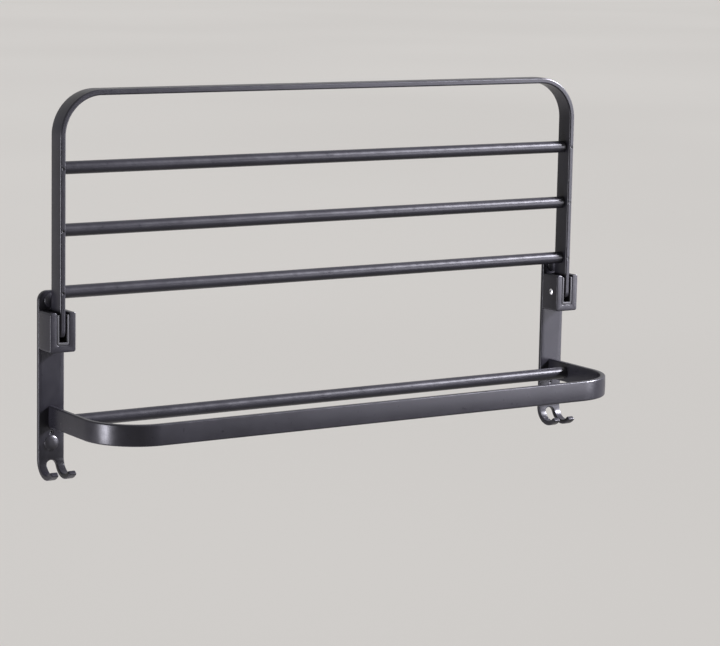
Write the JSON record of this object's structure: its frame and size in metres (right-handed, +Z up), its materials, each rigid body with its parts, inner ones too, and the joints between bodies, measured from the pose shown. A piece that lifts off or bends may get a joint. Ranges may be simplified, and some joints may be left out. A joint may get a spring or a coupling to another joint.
{
  "type": "towel rack",
  "caption": "Wall-mounted folding towel rack: a tilting flat-bar frame with round rails over a fixed lower frame, on two wall plates that end in hooks.",
  "frame": {"origin": "centre of the four wall screw holes, on the wall's face", "axes": "+X along the wall to the right as seen from the room, +Y into the wall, +Z up"},
  "size_m": [0.6, 0.128, 0.3605],
  "materials": {
    "black_coat": "fine satin black coat",
    "cap": "satin black",
    "liner": "matt black",
    "steel": "bright turned steel"
  },
  "bodies": {
    "wall_frame": {"left_wall_plate": "black_coat", "right_wall_plate": "black_coat", "left_upper_cap": "cap", "left_lower_cap": "cap", "right_upper_cap": "cap", "right_lower_cap": "cap", "plate_grub_screws": "steel", "left_hinge_block": "black_coat", "right_hinge_block": "black_coat", "left_block_screws": "steel", "right_block_screws": "steel", "left_slot_liner": "liner", "right_slot_liner": "liner", "left_hinge_pin": "steel", "right_hinge_pin": "steel", "left_pin_washers": "steel", "right_pin_washers": "steel", "lower_frame": "black_coat", "lower_rail": "black_coat", "left_arm_screws": "steel", "right_arm_screws": "steel"},
    "folding_frame": {"fold_frame": "black_coat", "fold_rail_bottom": "black_coat", "fold_rail_middle": "black_coat", "fold_rail_top": "black_coat", "left_rail_grub_screws": "steel", "right_rail_grub_screws": "steel"}
  },
  "joints": [
    {"name": "fold_hinge", "type": "hinge", "parent": "wall_frame", "child": "folding_frame", "pos_m": [0, -0.0185, 0.041], "axis": [1, 0, 0], "range_deg": [0, 90]}
  ]
}
